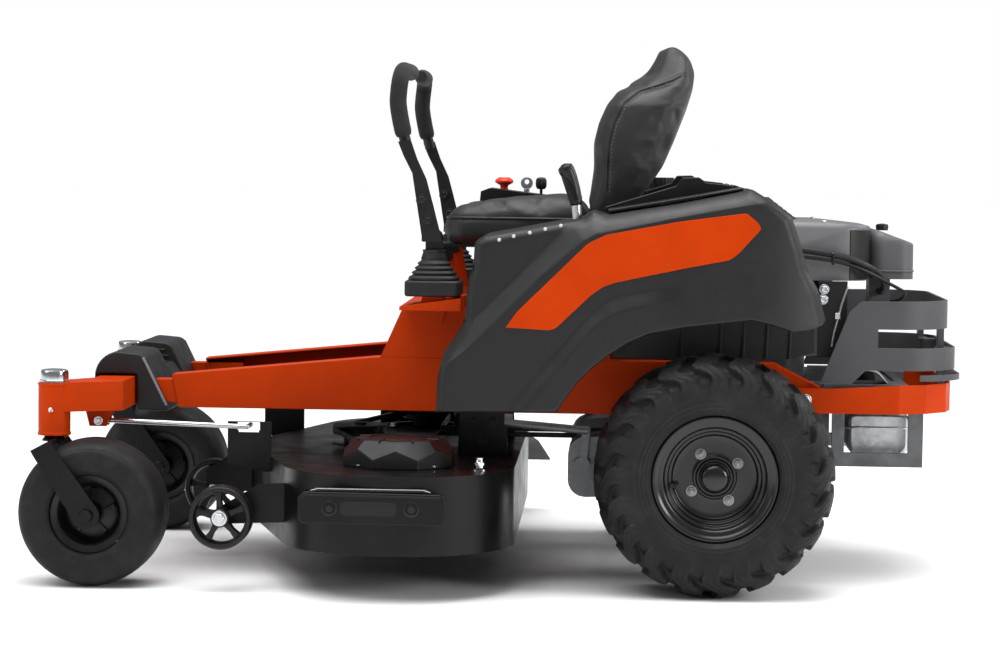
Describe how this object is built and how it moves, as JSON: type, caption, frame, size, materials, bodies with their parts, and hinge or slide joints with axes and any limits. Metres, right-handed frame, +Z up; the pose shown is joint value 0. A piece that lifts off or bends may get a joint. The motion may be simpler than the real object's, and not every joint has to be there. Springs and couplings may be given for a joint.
{
  "type": "zero turn mower",
  "caption": "Seated mower with two steering levers, rear drive wheels, trailing front casters, a raised cutting deck and a rear engine.",
  "frame": {"origin": "bottom centre of the machine standing on level ground, with the deck raised", "axes": "+X is the way it drives, +Y is the operator's left, +Z is up"},
  "size_m": [1.8069, 1.502, 1.053],
  "materials": {
    "orange_paint": "gloss powder coat",
    "black_paint": "satin powder coat",
    "dark_plastic": "fine moulded texture",
    "black_plastic": "moulded",
    "guard_paint": "satin powder coat",
    "bare_steel": "bare and zinc plated steel",
    "cast_aluminium": "cast",
    "hose_rubber": "matt",
    "tire_rubber": "matt",
    "foam_grip": "foam",
    "seat_vinyl": "grained vinyl",
    "blade_steel": "painted, ground edges",
    "fan_metal": "moulded fan on a steel shaft",
    "red_plastic": "gloss",
    "key_metal": "plated with a plastic head"
  },
  "bodies": {
    "chassis": {"frame_rail_left": "orange_paint", "frame_rail_right": "orange_paint", "front_axle": "orange_paint", "footplate": "black_paint", "footrest": "dark_plastic", "seat_riser": "orange_paint", "engine_plate": "black_paint", "rear_bumper": "orange_paint", "tow_tab": "orange_paint", "engine_guard": "guard_paint", "muffler": "bare_steel", "engine_block": "cast_aluminium", "blower_housing": "black_plastic", "air_cleaner": "black_plastic", "fuel_line": "hose_rubber", "fender_left": "dark_plastic", "fender_right": "dark_plastic", "control_console": "black_plastic", "fuel_tank": "black_plastic", "battery": "black_plastic", "transaxle_left": "cast_aluminium", "transaxle_right": "cast_aluminium", "drive_belt": "hose_rubber", "lever_boots": "hose_rubber"},
    "fork_left": {"caster_fork_left": "black_paint"},
    "fork_right": {"caster_fork_right": "black_paint"},
    "caster_left": {"caster_tire_left": "tire_rubber", "caster_rim_left": "black_paint"},
    "caster_right": {"caster_tire_right": "tire_rubber", "caster_rim_right": "black_paint"},
    "drive_left": {"drive_tire_left": "tire_rubber", "drive_rim_left": "black_paint"},
    "drive_right": {"drive_tire_right": "tire_rubber", "drive_rim_right": "black_paint"},
    "steer_left": {"lever_base_left": "black_paint"},
    "steer_right": {"lever_base_right": "black_paint"},
    "lever_left": {"lever_arm_left": "black_paint", "lever_grip_left": "foam_grip"},
    "lever_right": {"lever_arm_right": "black_paint", "lever_grip_right": "foam_grip"},
    "seat": {"seat_frame": "black_paint", "seat_cushion": "seat_vinyl", "seat_back": "seat_vinyl"},
    "lift": {"lift_lever": "black_paint"},
    "deck": {"deck_shell": "black_paint", "deck_bumper": "dark_plastic", "belt_covers": "black_plastic", "deck_belt": "hose_rubber"},
    "draft": {"draft_rod": "bare_steel"},
    "cutter_left": {"blade_left": "blade_steel"},
    "cutter_center": {"blade_center": "blade_steel"},
    "cutter_right": {"blade_right": "blade_steel"},
    "antiscalp_left": {"roller_left": "black_plastic"},
    "antiscalp_center": {"roller_center": "black_plastic"},
    "antiscalp_right": {"roller_right": "black_plastic"},
    "chute": {"discharge_chute": "dark_plastic"},
    "crank": {"crankshaft": "fan_metal"},
    "pto": {"pto_knob": "red_plastic"},
    "key": {"ignition_key": "key_metal"},
    "throttle": {"throttle_lever": "black_plastic"},
    "cap": {"fuel_cap": "black_plastic"}
  },
  "joints": [
    {"name": "caster_swivel_left", "type": "hinge", "parent": "chassis", "child": "fork_left", "pos_m": [0.84175, 0.548, 0.33], "axis": [0, 0, 1], "continuous": true},
    {"name": "caster_roll_left", "type": "hinge", "parent": "fork_left", "child": "caster_left", "pos_m": [0.76475, 0.548, 0.1395], "axis": [0, 1, 0], "continuous": true},
    {"name": "drive_roll_left", "type": "hinge", "parent": "chassis", "child": "drive_left", "pos_m": [-0.41625, 0.528, 0.2285], "axis": [0, 1, 0], "continuous": true},
    {"name": "steer_left", "type": "hinge", "parent": "chassis", "child": "steer_left", "pos_m": [0.12475, 0.458, 0.566], "axis": [0, 1, 0], "range_deg": [-15, 20], "stiffness_Nm_per_rad": 30, "deforming": ["lever_boots"]},
    {"name": "swing_left", "type": "hinge", "parent": "steer_left", "child": "lever_left", "pos_m": [0.12475, 0.458, 0.668], "axis": [-1, 0, 0], "range_deg": [0, 32]},
    {"name": "caster_swivel_right", "type": "hinge", "parent": "chassis", "child": "fork_right", "pos_m": [0.84175, -0.312, 0.33], "axis": [0, 0, 1], "continuous": true},
    {"name": "caster_roll_right", "type": "hinge", "parent": "fork_right", "child": "caster_right", "pos_m": [0.76475, -0.312, 0.1395], "axis": [0, 1, 0], "continuous": true},
    {"name": "drive_roll_right", "type": "hinge", "parent": "chassis", "child": "drive_right", "pos_m": [-0.41625, -0.292, 0.2285], "axis": [0, 1, 0], "continuous": true},
    {"name": "steer_right", "type": "hinge", "parent": "chassis", "child": "steer_right", "pos_m": [0.12475, -0.222, 0.566], "axis": [0, 1, 0], "range_deg": [-15, 20], "stiffness_Nm_per_rad": 30, "deforming": ["lever_boots"]},
    {"name": "swing_right", "type": "hinge", "parent": "steer_right", "child": "lever_right", "pos_m": [0.12475, -0.222, 0.668], "axis": [1, 0, 0], "range_deg": [0, 32]},
    {"name": "seat_tilt", "type": "hinge", "parent": "chassis", "child": "seat", "pos_m": [0.11375, 0.118, 0.628], "axis": [0, 1, 0], "range_deg": [0, 45]},
    {"name": "lift_turn", "type": "hinge", "parent": "chassis", "child": "lift", "pos_m": [-0.08625, 0.118, 0.447], "axis": [0, 1, 0], "range_deg": [0, 30]},
    {"name": "deck_drop", "type": "slide", "parent": "chassis", "child": "deck", "axis": [0, 0, -1], "range_m": [0, 0.064], "deforming": ["deck_belt"]},
    {"name": "draft_turn", "type": "hinge", "parent": "chassis", "child": "draft", "pos_m": [0.77075, 0.452, 0.305], "axis": [0, -1, 0], "range_deg": [0, 12.94]},
    {"name": "cutter_spin_left", "type": "hinge", "parent": "deck", "child": "cutter_left", "pos_m": [0.18375, 0.521, 0.1], "axis": [0, 0, 1], "continuous": true},
    {"name": "cutter_spin_center", "type": "hinge", "parent": "deck", "child": "cutter_center", "pos_m": [0.29375, 0.118, 0.1], "axis": [0, 0, 1], "continuous": true},
    {"name": "cutter_spin_right", "type": "hinge", "parent": "deck", "child": "cutter_right", "pos_m": [0.18375, -0.285, 0.1], "axis": [0, 0, 1], "continuous": true},
    {"name": "roller_spin_left", "type": "hinge", "parent": "deck", "child": "antiscalp_left", "pos_m": [0.51175, 0.615, 0.14], "axis": [0, 1, 0], "continuous": true},
    {"name": "roller_spin_center", "type": "hinge", "parent": "deck", "child": "antiscalp_center", "pos_m": [0.59275, 0.118, 0.138], "axis": [0, 1, 0], "continuous": true},
    {"name": "roller_spin_right", "type": "hinge", "parent": "deck", "child": "antiscalp_right", "pos_m": [0.51175, -0.379, 0.14], "axis": [0, 1, 0], "continuous": true},
    {"name": "chute_fold", "type": "hinge", "parent": "deck", "child": "chute", "pos_m": [0.14375, -0.516, 0.215], "axis": [-1, 0, 0], "range_deg": [0, 70]},
    {"name": "crank_spin", "type": "hinge", "parent": "chassis", "child": "crank", "pos_m": [-0.49125, 0.118, 0.3], "axis": [0, 0, 1], "continuous": true},
    {"name": "pto_pull", "type": "slide", "parent": "chassis", "child": "pto", "axis": [0, 0, 1], "range_m": [0, 0.012]},
    {"name": "key_turn", "type": "hinge", "parent": "chassis", "child": "key", "pos_m": [-0.02825, -0.252, 0.74], "axis": [0, 0, -1], "range_deg": [0, 90]},
    {"name": "throttle_push", "type": "hinge", "parent": "chassis", "child": "throttle", "pos_m": [-0.05925, -0.252, 0.728], "axis": [0, -1, 0], "range_deg": [0, 15]},
    {"name": "cap_twist", "type": "hinge", "parent": "chassis", "child": "cap", "pos_m": [-0.31125, -0.262, 0.76], "axis": [0, 0, 1], "range_deg": [0, 90]}
  ],
  "couplings": [
    {"joint": "deck_drop", "follows": "lift_turn", "m_per_rad": 0.12223},
    {"joint": "draft_turn", "follows": "lift_turn", "ratio": 0.43112},
    {"joint": "cutter_spin_left", "follows": "cutter_spin_center", "ratio": 1},
    {"joint": "cutter_spin_right", "follows": "cutter_spin_center", "ratio": 1}
  ]
}
